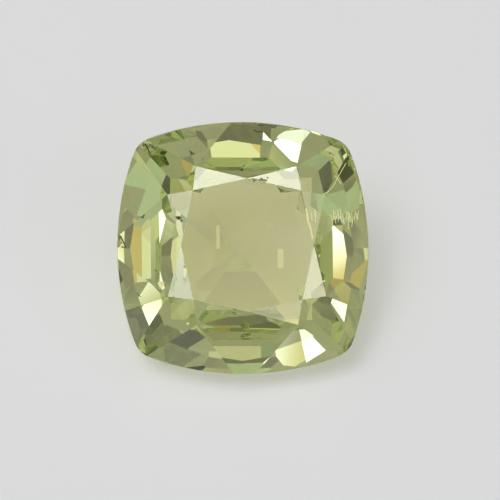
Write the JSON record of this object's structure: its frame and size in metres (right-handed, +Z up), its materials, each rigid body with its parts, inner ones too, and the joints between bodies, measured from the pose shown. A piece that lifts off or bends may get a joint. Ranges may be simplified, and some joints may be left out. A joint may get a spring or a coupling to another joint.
{
  "type": "cushion cut sapphire",
  "caption": "Loose faceted gemstone with a cushion outline, a broad table, a brilliant cut crown and a pointed pavilion, lying on a pavilion facet.",
  "frame": {"origin": "middle of the stone's footprint, on the surface that it lies on", "axes": "+Z up from the surface; the table faces -Y and up, tilted 29.2 degrees from +Z; +X along the stone's full width"},
  "size_m": [0.006, 0.0054, 0.0035],
  "materials": {
    "sapphire_crystal": "polished, transparent yellow-green crystal"
  },
  "bodies": {
    "root": {"sapphire": "sapphire_crystal"}
  },
  "joints": []
}
